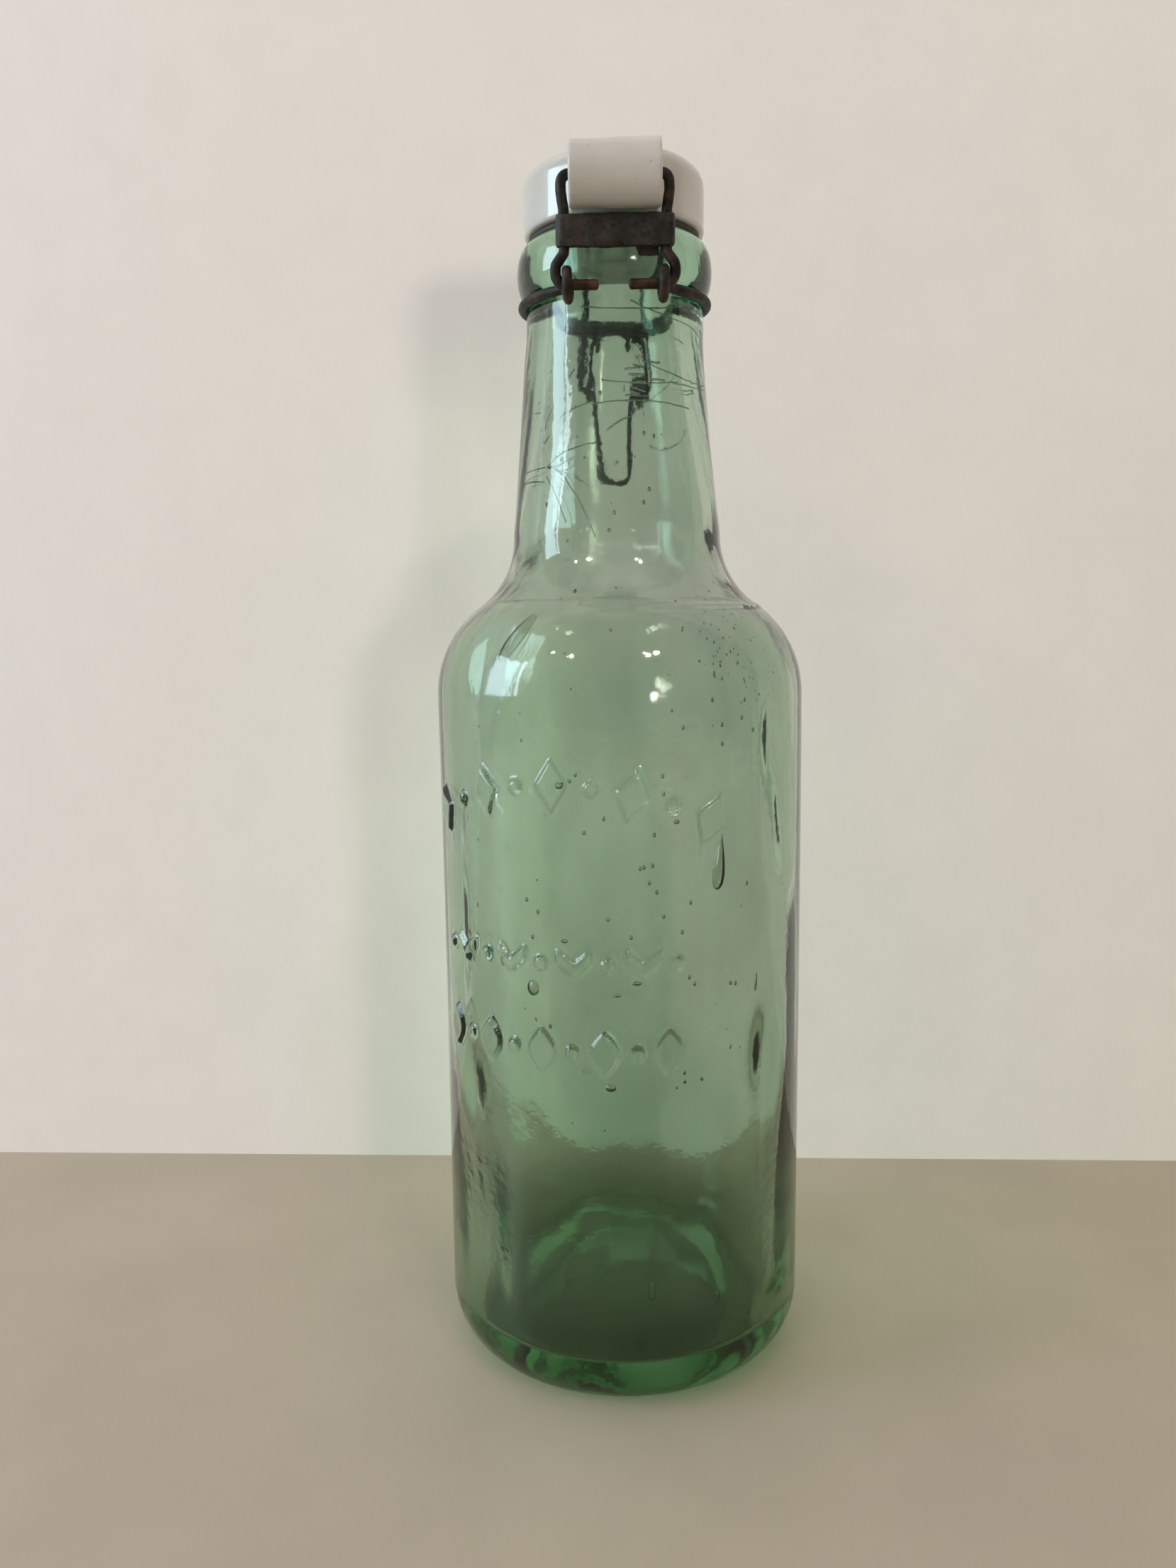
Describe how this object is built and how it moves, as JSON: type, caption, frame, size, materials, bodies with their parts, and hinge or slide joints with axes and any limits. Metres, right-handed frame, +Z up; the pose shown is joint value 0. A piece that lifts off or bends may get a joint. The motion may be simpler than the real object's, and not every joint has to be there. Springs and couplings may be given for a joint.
{
  "type": "glass bottle",
  "caption": "Antique clear green glass bottle with a porcelain cap held down by a front hinge bail and a rear toggle latch.",
  "frame": {"origin": "centre of the resting face under the base, on the bottle's axis", "axes": "+Z up along the bottle's axis, -Y towards the hinge barrel at the front, +Y towards the latch at the rear, +X to the right seen from the front"},
  "size_m": [0.088, 0.088, 0.2819],
  "materials": {
    "glass": "clear aqua green, seedy",
    "porcelain": "glossy white glaze",
    "wire": "dark oxidised, rusty",
    "sheet": "dark oxidised sheet",
    "rubber": "aged matte"
  },
  "bodies": {
    "bottle": {"glass_bottle": "glass", "neck_ring": "wire"},
    "bail": {"hinge_bail": "wire", "bail_plate": "sheet"},
    "cap": {"porcelain_cap": "porcelain", "rubber_gasket": "rubber"},
    "lever": {"latch_lever": "wire"},
    "link": {"latch_link": "wire"}
  },
  "joints": [
    {"name": "lever_swing", "type": "hinge", "parent": "bottle", "child": "lever", "pos_m": [0, 0.0256, 0.2512], "axis": [1, 0, 0], "range_deg": [0, 165]},
    {"name": "link_swing", "type": "hinge", "parent": "lever", "child": "link", "pos_m": [0, 0.02352, 0.23938], "axis": [1, 0, 0], "range_deg": [-330, 0]},
    {"name": "bail_swing", "type": "hinge", "parent": "bottle", "child": "bail", "pos_m": [0, -0.024, 0.2503], "axis": [1, 0, 0], "range_deg": [0, 41.25]},
    {"name": "cap_tilt", "type": "hinge", "parent": "bail", "child": "cap", "pos_m": [0, -0.0275, 0.27175], "axis": [1, 0, 0], "range_deg": [0, 49.5]}
  ],
  "couplings": [
    {"joint": "link_swing", "follows": "lever_swing", "ratio": -2},
    {"joint": "bail_swing", "follows": "lever_swing", "ratio": 0.25},
    {"joint": "cap_tilt", "follows": "lever_swing", "ratio": 0.3}
  ]
}
